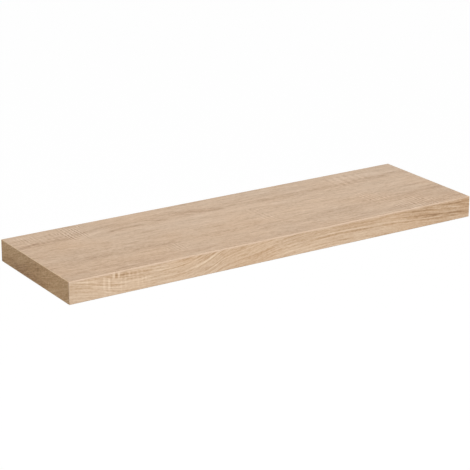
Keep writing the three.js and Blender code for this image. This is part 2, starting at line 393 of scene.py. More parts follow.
FRONT_DECOR = {
    "axes": ("X", "Z"),
    "seed": 21.9,
    "bend": 2.0,
    "drift": 0.0,
    "flow": [
        (-400, 17), (-368, 12.5), (-338, 5.0), (-312, -2.0), (-285, -4.8), (-245, -6.2), (-206, -6.7),
        (-170, 0), (-135, 11.8), (-114, 20), (-60, 29), (7, 39), (83, 43), (159, 41.5), (235, 36),
        (311, 28.6), (400, 19.5),
    ],
    "layers": [
        (420, 15, 0.16), (220, 5.2, 0.38), (90, 3.0, 0.46), (30, 1.8, 0.42), (9, 2.6, 0.36),
        (5, 1.8, 0.44), (34, 0.7, 0.34), (12, 0.35, 0.24),
    ],
    "rings": [
        (-310, 110, 2, 24, 4.7, 0.25), (-180, 80, 2, 24, 8.5, 0.20), (-60, 160, 4, 24, 5.6, 0.14),
        (340, 130, 4, 24, 4.4, 0.16),
    ],
    "strokes": [
        (-100, 14, -4, 5, 15, 2.0, 0.06),
        (-78, 34, -8, 2, 10, 1.8, 0.12),
        (36, 190, -1.0, 2.2, -0.2, 2.0, 0.26),
        (30, 200, 5.2, 5.4, 3.4, 1.6, -0.11),
        (146, 292, 1.4, -0.9, -7.2, 1.9, 0.18),
        (176, 292, 4.4, 2.6, -3.0, 1.7, -0.13),
        (258, 424, -4.6, -8.4, -14, 1.8, 0.15),
        (284, 352, -3.0, -5.0, -7.0, 1.6, -0.14),
        (268, 338, 3.6, 1.6, -1.6, 3.2, 0.17),
        (306, 440, -0.4, -4.2, -8.4, 2.2, 0.20),
        (326, 420, 14.5, 12.5, 11.5, 2.2, 0.12),
        (-392, -312, 15.0, 10.2, 2.0, 1.6, -0.13),
        (-334, -286, 4.0, -1.0, -1.5, 1.5, -0.18),
        (-330, -286, 1.0, -3.0, -2.6, 1.5, 0.20),
        (-328, -282, -3.0, -5.6, -5.0, 1.5, -0.14),
        (-300, -244, 11.5, 9.6, 8.4, 1.8, 0.13),
        (-272, -184, 13.6, 13.0, 13.4, 2.4, -0.22),
        (-210, -174, 12.6, 13.6, 16, 1.7, 0.18),
        (-312, -156, 5.5, 3.6, 11, 1.5, 0.12),
        (-246, -190, 0.8, 0.6, 1.4, 1.7, -0.12),
        (-276, -154, 7.0, 6.8, 14, 1.7, -0.18),
        (-180, -120, -5, 4, 18, 1.9, -0.20),
        (-128, -106, 8, 13, 18, 2.4, 0.16),
        (-96, 20, -16, -7.5, 2, 1.9, 0.18),
        (-76, -6, 1.5, 7, 11.5, 1.9, -0.16),
        (-26, 22, 2.5, 5.5, 8, 1.6, -0.14),
        (-34, 22, 8.5, 10, 12.5, 1.6, 0.12),
        (-20, 92, 15, 15.2, 14.6, 1.6, 0.12),
        (8, 72, 7.0, 8.8, 10, 1.7, 0.14),
        (-20, 60, -4.0, -2.5, 1.0, 2.0, 0.09),
        (18, 78, -8.0, -6.8, -5.6, 1.9, 0.12),
        (82, 152, -5.0, -5.4, -6.4, 1.9, 0.14),
        (44, 132, -2.5, -1.4, -1.6, 1.6, -0.12),
        (84, 218, 8.4, 8.4, 7.0, 2.0, 0.15),
        (180, 262, 14, 14, 14.6, 1.7, 0.14),
        (186, 250, 11.6, 9.8, 8.0, 1.9, -0.14),
        (246, 330, 12.6, 10.6, 7.6, 1.7, 0.14),
        (304, 372, 16.5, 11, 6.5, 1.8, -0.20),
        (296, 392, 5.6, 1.0, -4.4, 1.6, -0.22),
        (292, 330, -1.0, -2.6, -4.0, 2.1, 0.18),
        (252, 288, 2.6, 2.0, 1.0, 1.8, 0.18),
        (336, 392, -4.6, -5.6, -7.0, 1.6, 0.14),
        (330, 420, -11.8, -12.4, -12, 2.6, -0.12),
        (-800, -60, 14, 14, 14, 5, 0.06),
        (-60, 800, 15, 15, 15, 5, 0.10),
        (150, 700, 4, 2, 0, 30, 0.13),
        (-190, -50, 11, 11, 11, 9, 0.08),
        (110, 330, 13.5, 12.5, 3, 2.4, -0.04),
        (90, 230, 11, 11, 10, 9, 0.05),
        (280, 560, 11, 10, 9, 14, 0.08),
        (-460, -290, 11, 11, 11, 9, 0.04),
        (-414, -342, 14.5, 13.4, 10.0, 2.6, -0.16),
        (-300, -236, 16.2, 16.0, 15.8, 2.6, -0.18),
        (256, 294, 15.8, 15.8, 15.8, 2.4, -0.13),
        (346, 424, 16.0, 15.6, 15.2, 2.4, -0.13),
        (-430, -230, -4, -7, -10, 13, -0.08),
        (-20, 100, -6, -7, -8, 11, -0.08),
        (150, 350, -9, -10, -12, 10, -0.08),
    ],
    "saw_patches": [(-285, 2, 26, 20, 7.4, 2.0, 0.12)],
    "cuts": [
        (-368, 2, 20, 2.0, 0.08),
        (-352, -6, 17, 2.0, 0.08),
        (-338, -10, 17, 2.6, 0.19),
        (-329.3, -12, 14, 2.6, 0.26),
        (-325.6, -9, 12, 1.8, -0.08),
        (-321, 6, 30, 2.8, 0.38),
        (-316.2, 7, 23, 2.6, -0.17),
        (-311.6, 6, 30, 2.6, 0.32),
        (-303, 6, 20, 8.5, -0.12),
    ],
    "stops": [(0.0, "9B7A5A"), (0.25, "BB9A79"), (0.5, "D0B497"), (0.75, "DFC5A9"), (1.0, "EDD7BC")],
}
# The end bands carry the front band's print, but their stops are browner and more saturated: painted warm
# shade, as the shaded end shows it
END_DECOR_WITH_PAINTED_SHADE = {
    "axes": ("Y", "Z"),
    "seed": 33.3,
    "bend": 3.5,
    "drift": 0.0,
    "flow": [(-400, 104), (-240, 42), (-190, 21), (-150, 8), (-100, -9), (-50, -28), (0, -46), (400, -110)],
    "layers": [
        (260, 14, 0.22), (110, 6.0, 0.38), (50, 3.0, 0.54), (16, 1.6, 0.84), (7, 2.4, 0.70),
        (4, 2.0, 0.70), (34, 0.7, 0.40), (12, 0.35, 0.24),
    ],
    "rings": [(-120, 260, 0, 40, 4.4, 0.10)],
    "strokes": [
        (-200, -130, 14, 2, -12, 2.2, 0.14),
        (-150, -96, 16, 4, -14, 2.0, 0.12),
        (-440, -110, 10, 6, 2, 60, -0.14),
        (-160, 120, -10, -14, -18, 30, 0.10),
        (-100, 60, 20, 16, 10, 24, -0.20),
        (-190, -10, -22, -20, -18, 18, 0.18),
    ],
    "saw_patches": [(-150, 2, 40, 16, 7.5, 1.0, 0.10)],
    "cuts": [],
    "stops": [(0.0, "A77849"), (0.25, "C19564"), (0.5, "D5AB79"), (0.75, "E3BB8B"), (1.0, "EECA9D")],
}


def flow_curve(tree, along, points):
    """How far the rings are shifted across, along the board. Points are places in mm."""
    share = spread(tree, along, -FLOW_REACH, FLOW_REACH, 0.0, 1.0)
    curve = add(tree, "ShaderNodeFloatCurve", {"Value": share})
    mapping = curve.node.mapping
    track = mapping.curves[0]
    while len(track.points) < len(points):
        track.points.new(0.5, 0.5)
    for point, (place, shift) in zip(track.points, points):
        point.location = (0.5 + place / FLOW_REACH / 2, 0.5 + shift / FLOW_LIFT / 2)
    mapping.update()
    return spread(tree, curve, 0.0, 1.0, -FLOW_LIFT, FLOW_LIFT)


def window(tree, value, middle, half, height=1.0):
    """A soft-edged window: full within half of half its width, and nothing beyond it."""
    away = calc(tree, "ABSOLUTE", calc(tree, "SUBTRACT", value, middle))
    return spread(tree, away, half, half / 2, 0.0, height, interpolation_type="SMOOTHSTEP")


def ring_stroke(tree, along, across, stroke):
    """The darkness of one ring or band: a curved line through three places that fades at its ends."""
    start, end, first, middle, last, half_width, strength = stroke
    share = spread(tree, along, start, end, 0.0, 1.0)
    rise = middle - (first + last) / 2
    straight = calc(tree, "MULTIPLY_ADD", share, last - first, first)
    bow = calc(tree, "MULTIPLY", share, calc(tree, "SUBTRACT", 1.0, share))
    line = calc(tree, "MULTIPLY_ADD", bow, 4 * rise, straight)
    body = window(tree, calc(tree, "SUBTRACT", across, line), 0.0, half_width, strength)
    fade = window(tree, along, (start + end) / 2, (end - start) / 2)
    return calc(tree, "MULTIPLY", body, fade)


def growth_rings(tree, along, across, flowing, wander, rings):
    """Even growth rings in one patch, about zero on average. They follow the flow of the grain."""
    middle_along, half_length, middle_across, half_width, pitch, strength = rings
    turn = calc(tree, "MULTIPLY_ADD", wander, pitch * RING_WANDER, flowing)
    turn = calc(tree, "MULTIPLY", turn, 2 * math.pi / pitch)
    wave = calc(tree, "COSINE", turn)
    beside = window(tree, along, middle_along, half_length, strength / 2)
    above = window(tree, across, middle_across, half_width)
    return calc(tree, "MULTIPLY", wave, calc(tree, "MULTIPLY", beside, above))


def single_cut(tree, along, across, cut):
    """One cut of the saw, straight across the grain."""
    place, low, high, half_width, strength = cut
    body = window(tree, along, place, half_width, strength)
    reach = window(tree, across, (low + high) / 2, (high - low) / 2)
    return calc(tree, "MULTIPLY", body, reach)


def saw_cuts(tree, along, across, broad, patch):
    """Pale cross cuts in one patch, about zero on average. The blade wandered, so their spacing, their
    depth and the patch's outline are uneven."""
    cut_place, middle_across, half_length, half_width, pitch, sharpness, strength = patch
    wander = sway(tree, broad, 3 * pitch, 60)
    depth = spread(tree, fibre(tree, broad, 1.5 * pitch, 14, 1.0), *CUT_SPREAD)
    shifted = calc(tree, "MULTIPLY_ADD", wander, pitch * CUT_WANDER, along)
    turn = calc(tree, "ADD", shifted, -cut_place)
    turn = calc(tree, "MULTIPLY", turn, 2 * math.pi / pitch)
    wave = calc(tree, "MULTIPLY_ADD", calc(tree, "COSINE", turn), 0.5, 0.5)
    wave = calc(tree, "POWER", wave, sharpness)
    wave = calc(tree, "ADD", wave, -0.5 / sharpness)
    ragged = sway(tree, broad, *RAGGED_MARKS)
    frayed_along = calc(tree, "MULTIPLY_ADD", ragged, PATCH_FRAY * half_length, along)
    frayed_across = calc(tree, "MULTIPLY_ADD", wander, PATCH_FRAY * half_width, across)
    beside = window(tree, frayed_along, cut_place, half_length, strength)
    above = window(tree, frayed_across, middle_across, half_width)
    inside = calc(tree, "MULTIPLY", calc(tree, "MULTIPLY", beside, above), depth)
    return calc(tree, "MULTIPLY", wave, inside)


def oak_print(name, decor, roughness, painted_highlight_edge=None):
    """Sawn oak printed on foil and lacquered matt: fine grain along the board, dark and pale growth
    rings, the cross cuts of the saw in patches, and a slight drift between warm and cool. The pores are
    embossed, so they break the sheen. A painted highlight edge is (start, full, colour): the heights
    between which a band's rounded top edge is painted pale, a painted highlight where it catches the light."""
    material, tree, place = new_material(name)
    axes = add(tree, "ShaderNodeSeparateXYZ", {0: place}).node.outputs
    along, across = (axes[axis] for axis in decor["axes"])
    broad = add(tree, JOIN_XYZ, {"X": along, "Y": across, "Z": decor["seed"]})
    bend = sway(tree, broad, *BEND_MARKS)
    flowing = calc(tree, "MULTIPLY_ADD", bend, 2 * decor["bend"], across)
    if decor["flow"]:
        flowing = calc(tree, "SUBTRACT", flowing, flow_curve(tree, along, decor["flow"]))
    grain = add(tree, JOIN_XYZ, {"X": along, "Y": flowing, "Z": decor["seed"]})
    tone = 0.5 - sum(weight for _, _, weight in decor["layers"]) / 2
    for length, width, weight in decor["layers"]:
        tone = calc(tree, "MULTIPLY_ADD", fibre(tree, grain, length, width), weight, tone)
    rows = spread(tree, fibre(tree, grain, *ROW_MARKS), *ROW_SPREAD)
    uneven = sway(tree, grain, *UNEVEN_MARKS, 2.0)
    for rings in decor["rings"]:
        pale = growth_rings(tree, along, across, flowing, uneven, rings)
        tone = calc(tree, "ADD", tone, pale)
    for stroke in decor["strokes"]:
        dark = calc(tree, "MULTIPLY", ring_stroke(tree, along, across, stroke), rows)
        tone = calc(tree, "SUBTRACT", tone, dark)
    ridges = spread(tree, fibre(tree, grain, *RIDGE_MARKS), *RIDGE_SPREAD)
    for patch in decor["saw_patches"]:
        pale = calc(tree, "MULTIPLY", saw_cuts(tree, along, across, broad, patch), ridges)
        tone = calc(tree, "ADD", tone, pale)
    for cut in decor["cuts"]:
        pale = calc(tree, "MULTIPLY", single_cut(tree, along, across, cut), rows)
        tone = calc(tree, "ADD", tone, pale)
    pores = spread(tree, fibre(tree, grain, *PORE_MARKS, 1.0), *PORE_SPREAD)
    tone = calc(tree, "MULTIPLY_ADD", pores, -PORE_DARKNESS, tone)
    colour = ramp(tree, tone, decor["stops"])
    warmth = fibre(tree, broad, *WARM_MARKS)
    warmth = calc(tree, "MULTIPLY_ADD", along, decor["drift"] / FLOW_REACH, warmth)
    tint = vector(tree, "MULTIPLY_ADD", warmth, WARM_SPAN, WARM_START)
    colour = vector(tree, "MULTIPLY", colour, tint)
    # Painted highlight: the band's rounded top edge turns pale where it would catch the light
    if painted_highlight_edge:
        start, full, highlight_colour = painted_highlight_edge
        rim = spread(tree, axes["Z"], start, full, 0.0, PAINTED_HIGHLIGHT_SHARE, interpolation_type="SMOOTHSTEP")
        rim = calc(tree, "MULTIPLY", rim, rows, use_clamp=True)
        colour = add(tree, "ShaderNodeMix", {0: rim, 6: colour, 7: linear(highlight_colour)}, data_type="RGBA")
    sheen = spread(tree, pores, 0.0, 1.0, roughness, roughness + PORE_DULLING)
    relief = calc(tree, "MULTIPLY_ADD", pores, -PORE_RELIEF, fibre(tree, grain, *RELIEF_MARKS))
    bump = bumped(tree, relief, RELIEF_STRENGTH, RELIEF_DEPTH)
    finish_material(tree, Base_Color=colour, Roughness=sheen, Normal=bump, Specular_IOR_Level=0.3)
    return material


def raw_fibreboard():
    """The sawn edge of 3 mm fibreboard: brown felted wood dust with no grain but the faint layers of its
    pressing, dull and slightly fuzzy."""
    material, tree, place = new_material("raw_fibreboard")
    dust = noise(tree, place, 1.6, 4.0)
    layers = noise(tree, place, (0.05, 0.05, 2.4), 2.0)
    tone = calc(tree, "MULTIPLY", calc(tree, "MULTIPLY", dust, layers), 2.0)
    colour = ramp(tree, tone, [(0.2, "7B5A3A"), (0.5, "9A7752"), (0.8, "B8946B")])
    finish_material(tree, Base_Color=colour, Roughness=0.92, Normal=bumped(tree, dust, 0.5, 0.1))
    return material


def particle_board():
    """Sawn chipboard: pressed spruce chips about 5 mm long and 2 mm thick, each its own tan, with fine
    streaks in them and dark gaps between."""
    material, tree, place = new_material("sawn_particle_board")
    stretched = vector(tree, "MULTIPLY", place, (0.2, 0.25, 0.55))
    warp = noise(tree, place, 0.25, 2.0).node.outputs["Color"]
    bent = vector(tree, "ADD", warp, stretched)
    chips = add(tree, CELLS, {"Vector": bent, "Scale": 1.0, "Randomness": 1.0}, feature="F1")
    tint = add(tree, "ShaderNodeSeparateColor", {0: chips.node.outputs["Color"]})
    gaps = add(tree, CELLS, {"Vector": bent, "Scale": 1.0}, feature="DISTANCE_TO_EDGE")
    gap = spread(tree, gaps, 0.0, 0.08, 0.3, 1.0)
    streak = noise(tree, bent, 3.0, 2.0)
    tone = calc(tree, "MULTIPLY", calc(tree, "MULTIPLY_ADD", tint, 0.55, streak), gap)
    colour = ramp(tree, tone, [(0.15, "87623F"), (0.45, "C99C6C"), (0.75, "E0BB8C"), (1.0, "EED3AC")])
    finish_material(tree, Base_Color=colour, Roughness=0.9, Normal=bumped(tree, tone, 0.6, 0.25))
    return material


def kraft_paper():
    """Unbleached kraft paper: brown and matt, with fine paler fibres, and cloudy where the pulp lay
    thicker."""
    material, tree, place = new_material("kraft_paper")
    fibres = noise(tree, place, 2.2, 5.0, Distortion=1.5)
    cloud = noise(tree, place, 0.15, 2.0)
    colour = ramp(tree, average(tree, fibres, cloud), [(0.3, "8D6B45"), (0.5, "A98659"), (0.7, "C3A276")])
    finish_material(tree, Base_Color=colour, Roughness=0.95, Normal=bumped(tree, fibres, 0.4, 0.08))
    return material


def zinc_plate():
    """Cold-rolled strip, stamped and zinc plated: a cool satin sheen broken by rolling lines along it
    and by faint cloudy patches where the bath plated a little duller."""
    material, tree, place = new_material("rolled_zinc_plated_steel")
    rolled = noise(tree, place, (0.02, 1.0, 1.6), 4.0)
    cloud = noise(tree, place, (0.008, 0.04, 0.08), 2.0)
    uneven = average(tree, rolled, cloud)
    finish_metal(tree, uneven, [(0.36, "969BA0"), (0.5, "A8ACB0"), (0.64, "BABDBE")],
                 (uneven, 0.35, 0.65, 0.30, 0.46), (rolled, 0.25, 0.05))
    return material


def sheared_zinc():
    """The sheared and punched edges of the plate under their zinc: darker and far duller than the rolled
    faces, with fine scores through the strip's thickness."""
    material, tree, place = new_material("sheared_zinc_plated_edge")
    scores = noise(tree, place, (2.2, 0.3, 2.2), 3.0)
    finish_metal(tree, scores, [(0.36, "6F7478"), (0.5, "818689"), (0.64, "94989B")],
                 (scores, 0.3, 0.7, 0.62, 0.80), (scores, 0.4, 0.06))
    return material


def zinc_bar():
    """Drawn round bar, zinc plated to a satin finish: fine drawing lines along Y and a faint cloudiness."""
    material, tree, place = new_material("drawn_zinc_plated_bar")
    drawn = noise(tree, place, (1.4, 0.03, 1.4), 3.0)
    cloud = noise(tree, place, 0.09, 2.0)
    finish_metal(tree, average(tree, drawn, cloud), [(0.36, "7E8387"), (0.5, "92979B"), (0.64, "A4A9AC")],
                 (drawn, 0.3, 0.7, 0.52, 0.66), (drawn, 0.2, 0.04))
    return material


def weld_steel():
    """A gas-shielded weld under the zinc: frosted, and a little darker in its fine pits."""
    material, tree, place = new_material("zinc_plated_weld")
    grit = noise(tree, place, 2.5, 4.0)
    finish_metal(tree, grit, [(0.3, "75797C"), (0.55, "94989B"), (0.75, "ABAEB0")],
                 (grit, 0.3, 0.7, 0.40, 0.62), (grit, 0.5, 0.12))
    return material


def screw_steel():
    """A cold-headed, zinc-plated screw: bright, with a bluish cast and fine pitting from the die."""
    material, tree, place = new_material("zinc_plated_screw")
    pits = noise(tree, place, 3.0, 3.0)
    finish_metal(tree, pits, [(0.3, "878D92"), (0.6, "A8ADB1")],
                 (pits, 0.3, 0.7, 0.28, 0.44), (pits, 0.3, 0.05))
    return material


FINISH = {
    "top": oak_print("oak_print_foil_top", TOP_DECOR, 0.50),
    "under": oak_print("oak_print_foil_underside", UNDER_DECOR, 0.50),
    # The last values of the front and end prints are painted highlights along the bands' rounded top edges
    "front": oak_print("oak_print_edge_band_front", FRONT_DECOR, 0.45, (16.2, 17.8, "D6BCA4")),
    # The end print's colours hold painted warm shade as well as the print
    "end": oak_print("oak_print_edge_band_end_with_painted_shade", END_DECOR_WITH_PAINTED_SHADE, 0.48, (17.6, 18.6, "DEC2A0")),
    "fibreboard": raw_fibreboard(),
    "chipboard": particle_board(),
    "paper": kraft_paper(),
    "plate": zinc_plate(),
    "sheared": sheared_zinc(),
    "bar": zinc_bar(),
    "weld": weld_steel(),
    "screw": screw_steel(),
}


def new_piece(name, mesh, materials):
    """A piece at the origin whose place is in its mesh."""
    piece = bpy.data.objects.new(name, mesh)
    bpy.context.scene.collection.objects.link(piece)
    for material in materials:
        mesh.materials.append(material)
    return piece


def seat(piece, body, slot, *nodes):
    """The piece rides on a body and stands for its CAD nodes, which it hides. The slot is not used."""
    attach(piece, body)
    if nodes:
        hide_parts(*nodes)


def smooth(mesh):
    """Shades a mesh smooth, but for its sharp edges."""
    for face in mesh.polygons:
        face.use_smooth = True
    mesh.set_sharp_from_angle(angle=SMOOTH_WITHIN)


def dressed(node, name, materials, edge_mm=0.0, pick=None):
    """A copy of a CAD node as one clean mesh, with its edges eased and its materials set by face: pick
    gives the place of a face's material in the list from its normal."""
    mesh = bpy.data.meshes.new(name)
    shape = bmesh.new()
    shape.from_mesh(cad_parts[node].data)
    bmesh.ops.remove_doubles(shape, verts=shape.verts, dist=SAME_POINT * MM)
    bmesh.ops.dissolve_limit(shape, angle_limit=FLAT_WITHIN, verts=shape.verts, edges=shape.edges)
    shape.to_mesh(mesh)
    shape.free()
    piece = new_piece(name, mesh, materials)
    if pick:
        for face in mesh.polygons:
            face.material_index = pick(face.normal)
    smooth(mesh)
    if edge_mm:
        bevel = piece.modifiers.new("eased edges", "BEVEL")
        bevel.width = edge_mm * MM
        bevel.segments = EASE_STEPS
        bevel.limit_method = "ANGLE"
        bevel.angle_limit = EASED_OVER
        bevel.use_clamp_overlap = True
    flats = piece.modifiers.new("true flats", "WEIGHTED_NORMAL")
    flats.keep_sharp = True
    flats.weight = 100
    return piece


def dress_board():
    """The skins and bands. A skin has the print on its outside and raw fibreboard on every other face."""
    top = dressed("top_skin", "top_panel", [FINISH["fibreboard"], FINISH["top"]], 0.12,
                  lambda normal: int(normal.z > 0.9))
    seat(top, "board", "oak_decor", "top_skin")
    under = dressed("bottom_skin", "bottom_panel", [FINISH["fibreboard"], FINISH["under"]], 0.0,
                    lambda normal: int(normal.z < -0.9))
    seat(under, "board", "oak_decor", "bottom_skin")
    for node, finish in (("front", "front"), ("left", "end"), ("right", "end")):
        band = dressed(f"{node}_edge_band", f"{node}_band", [FINISH[finish]])
        seat(band, "board", "oak_edge_band", f"{node}_edge_band")


def dress_frame():
    """The sawn chipboard frame. The rear rail's bores show from behind, so it is dressed, and the rails
    that the skins hide keep their CAD solids."""
    rear = dressed("rear_rail", "bored_rail", [FINISH["chipboard"]], 0.2)
    seat(rear, "board", "chipboard", "rear_rail")
    for rail in ("front_rail", "left_end_rail", "right_end_rail", "left_cross_rail", "right_cross_rail"):
        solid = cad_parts[rail]
        solid.data.materials.clear()
        solid.data.materials.append(FINISH["chipboard"])


def new_tree(name, **sizes):
    """A Geometry Nodes tree with a named input for each size, its default in metres or a count."""
    tree = bpy.data.node_groups.new(name, "GeometryNodeTree")
    tree.interface.new_socket("Geometry", in_out="OUTPUT", socket_type="NodeSocketGeometry")
    for label, size in sizes.items():
        kind = "NodeSocketInt" if isinstance(size, int) else "NodeSocketFloat"
        tree.interface.new_socket(label, in_out="INPUT", socket_type=kind).default_value = size
    tree.interface.new_socket("finish", in_out="INPUT", socket_type="NodeSocketMaterial")
    add(tree, "NodeGroupInput")
    return tree, tree.nodes["Group Input"].outputs


def close_tree(tree, shapes, smooth_shaded):
    """Ends a tree: one plain mesh in the finish that the input names."""
    real = add(tree, "GeometryNodeRealizeInstances", {"Geometry": shapes})
    shaded = add(tree, "GeometryNodeSetShadeSmooth", {"Geometry": real, "Shade Smooth": smooth_shaded})
    finish = tree.nodes["Group Input"].outputs["finish"]
    finished = add(tree, "GeometryNodeSetMaterial", {"Geometry": shaded, "Material": finish})
    add(tree, "NodeGroupOutput", {"Geometry": finished})


def make_plain(piece):
    """Takes what the piece's modifiers give as its mesh."""
    bpy.context.view_layer.update()
    ready = piece.evaluated_get(bpy.context.evaluated_depsgraph_get())
    mesh = bpy.data.meshes.new_from_object(ready)
    piece.modifiers.clear()
    piece.data = mesh


def grown(name, tree, body, slot, nodes=(), **sizes):
    """The tree's result as a plain mesh, with these sizes in place of its defaults."""
    piece = new_piece(name, bpy.data.meshes.new(name), [])
    modifier = piece.modifiers.new("growth", "NODES")
    modifier.node_group = tree
    for socket in tree.interface.items_tree:
        if socket.in_out == "INPUT" and socket.name in sizes:
            modifier[socket.identifier] = sizes[socket.name]
    make_plain(piece)
    seat(piece, body, slot, *nodes)


def turn_about(tree, axis, angle):
    """A rotation by an angle about an axis."""
    return add(tree, "FunctionNodeAxisAngleToRotation", {"Axis": axis, "Angle": angle})


def one_each_side(tree, shape, size, **places):
    """The shape twice, as far apart along X as the size says and evenly about the middle."""
    first = calc(tree, "MULTIPLY", size["apart"], -0.5)
    start = add(tree, JOIN_XYZ, {"X": first, **places})
    step = add(tree, JOIN_XYZ, {"X": size["apart"]})
    points = add(tree, MESH_LINE, {"Count": len(SIDES), "Start Location": start, "Offset": step})
    return add(tree, "GeometryNodeInstanceOnPoints", {"Points": points, "Instance": shape})


def ribbon_tree():
    """Paper honeycomb for one bay: zigzag ribbons side by side, every other one turned round, so that
    their flat walls meet in pairs where the glue is. The core is pulled out to fill the bay's depth. A
    slanted wall takes up half as much of that depth as a flat one."""
    tree, size = new_tree("honeycomb_ribbons", left=-0.2, front=-0.2, width=0.4, depth=0.15, height=0.03,
                          cell=CELL * MM, paper=PAPER * MM)
    index = add(tree, "GeometryNodeInputIndex")
    pair = calc(tree, "FLOOR", calc(tree, "DIVIDE", index, 2.0))
    odd_pair = calc(tree, "MODULO", pair, 2.0)
    second = calc(tree, "MODULO", index, 2.0)
    wall_length = calc(tree, "DIVIDE", size["depth"], 1.5 * RIBBON_WALLS - 0.5)
    steps = calc(tree, "MULTIPLY_ADD", pair, 1.5, second)
    y = calc(tree, "MULTIPLY", steps, wall_length)
    y = calc(tree, "MULTIPLY_ADD", size["depth"], -0.5, y)
    side = calc(tree, "MULTIPLY_ADD", odd_pair, -2.0, 1.0)
    reach = calc(tree, "MULTIPLY", size["cell"], 0.25)
    x = calc(tree, "MULTIPLY", side, reach)
    zigzag = add(tree, MESH_LINE, {"Count": 2 * RIBBON_WALLS})
    zigzag = add(tree, "GeometryNodeSetPosition",
                 {"Geometry": zigzag, "Position": add(tree, JOIN_XYZ, {"X": x, "Y": y})})
    path = add(tree, "GeometryNodeMeshToCurve", {"Mesh": zigzag})
    path = add(tree, "GeometryNodeSetCurveNormal", {"Curve": path}, mode="Z_UP")
    strip = add(tree, "GeometryNodeCurvePrimitiveQuadrilateral",
                {"Width": size["paper"], "Height": size["height"]})
    ribbon = add(tree, "GeometryNodeCurveToMesh",
                 {"Curve": path, "Profile Curve": strip, "Fill Caps": True})
    half_cell = calc(tree, "MULTIPLY_ADD", size["cell"], 0.5, size["paper"])
    room = calc(tree, "SUBTRACT", size["width"], half_cell)
    gaps = calc(tree, "FLOOR", calc(tree, "DIVIDE", room, half_cell))
    pitch = calc(tree, "DIVIDE", room, gaps)
    first = calc(tree, "MULTIPLY_ADD", half_cell, 0.5, size["left"])
    middle = calc(tree, "MULTIPLY_ADD", size["depth"], 0.5, size["front"])
    count = calc(tree, "ADD", gaps, 1.0)
    places = add(tree, MESH_LINE,
                 {"Count": count, "Start Location": add(tree, JOIN_XYZ, {"X": first, "Y": middle}),
                  "Offset": add(tree, JOIN_XYZ, {"X": pitch})})
    half_turns = calc(tree, "MULTIPLY", add(tree, "GeometryNodeInputIndex"), math.pi)
    turned_round = turn_about(tree, (0, 0, 1), half_turns)
    core = add(tree, "GeometryNodeInstanceOnPoints",
               {"Points": places, "Instance": ribbon, "Rotation": turned_round})
    close_tree(tree, core, False)
    return tree


def fill_bays():
    """A core of kraft paper in each of the three bays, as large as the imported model's."""
    tree = ribbon_tree()
    for bay in ("left", "middle", "right"):
        low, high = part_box(f"honeycomb_{bay}")
        grown(f"paper_core_{bay}", tree, "board", "honeycomb_paper", [f"honeycomb_{bay}"], left=low.x,
              front=low.y, width=high.x - low.x, depth=high.y - low.y, height=high.z - low.z,
              finish=FINISH["paper"])


def to_mesh(name, shape, placing):
    """Ends a shape that is in mm: places it, turns its faces outward and gives its mesh."""
    shape.transform(placing @ Matrix.Scale(MM, 4))
    bmesh.ops.recalc_face_normals(shape, faces=shape.faces)
    mesh = bpy.data.meshes.new(name)
    shape.to_mesh(mesh)
    shape.free()
    return mesh


def turned(name, profile, placing, finish):
    """A turned piece. Its profile is (radius, place) in mm along the lathe's axis, from pole to pole."""
    shape = bmesh.new()
    rings = []
    for radius, place in profile:
        turns = [2 * math.pi * step / LATHE_STEPS for step in range(LATHE_STEPS if radius else 1)]
        rings.append([shape.verts.new((radius * math.cos(a), radius * math.sin(a), place)) for a in turns])
    for low, high in zip(rings, rings[1:]):
        for step in range(LATHE_STEPS):
            beside = (step + 1) % LATHE_STEPS
            corners = [low[step % len(low)], low[beside % len(low)],
                       high[beside % len(high)], high[step % len(high)]]
            shape.faces.new(list(dict.fromkeys(corners)))
    mesh = to_mesh(name, shape, placing)
    smooth(mesh)
    return new_piece(name, mesh, [finish])


def make_rods():
    """Each rod with its spigot through the plate. Its tip is chamfered so that the board slides on, and a
    facet eases each of the chamfer's two corners."""
    before, past, inward = 0.25, 0.1, 0.15
    chamfer_start = ROD_TIP + ROD_CHAMFER
    tip_radius = ROD_RADIUS - ROD_CHAMFER
    profile = [
        (0, 0), (SPIGOT_RADIUS - SPIGOT_EASE, 0), (SPIGOT_RADIUS, -SPIGOT_EASE),
        (SPIGOT_RADIUS, PLATE_FRONT), (ROD_RADIUS, PLATE_FRONT), (ROD_RADIUS, chamfer_start + before),
        (ROD_RADIUS - inward, chamfer_start - past), (tip_radius + past, ROD_TIP + inward),
        (tip_radius - before, ROD_TIP), (0, ROD_TIP),
    ]
    along_y = Matrix.Rotation(-math.pi / 2, 4, "X")
    for side, sign in SIDES:
        placing = Matrix.Translation((sign * ROD_AT * MM, 0, 0)) @ along_y
        rod = turned(f"{side}_bar", profile, placing, FINISH["bar"])
        seat(rod, "bracket", "zinc_steel", f"{side}_rod")


def bead_tree():
    """A fillet weld round each rod: a bead with the scales that the torch leaves at each step."""
    tree, size = new_tree("weld_beads", apart=2 * ROD_AT * MM, place=WELD_AT * MM, ring=WELD_RING * MM,
                          bead=WELD_BEAD * MM, scales=WELD_SCALES, overlap=WELD_OVERLAP)
    points = calc(tree, "MULTIPLY", size["scales"], POINTS_A_SCALE)
    ring = add(tree, "GeometryNodeCurvePrimitiveCircle", {"Resolution": points, "Radius": size["ring"]})
    step = calc(tree, "MULTIPLY", add(tree, "GeometryNodeInputIndex"), 1 / POINTS_A_SCALE)
    step = calc(tree, "POWER", calc(tree, "FRACT", step), 0.5)
    rest = calc(tree, "SUBTRACT", 1.0, size["overlap"])
    swell = calc(tree, "MULTIPLY_ADD", step, size["overlap"], rest)
    section = add(tree, "GeometryNodeCurvePrimitiveCircle",
                  {"Resolution": WELD_SIDES, "Radius": size["bead"]})
    bead = add(tree, "GeometryNodeCurveToMesh", {"Curve": ring, "Profile Curve": section, "Scale": swell})
    upright = turn_about(tree, (1, 0, 0), math.pi / 2)
    bead = add(tree, "GeometryNodeTransform", {"Geometry": bead, "Rotation": upright})
    close_tree(tree, one_each_side(tree, bead, size, Y=size["place"]), True)
    return tree


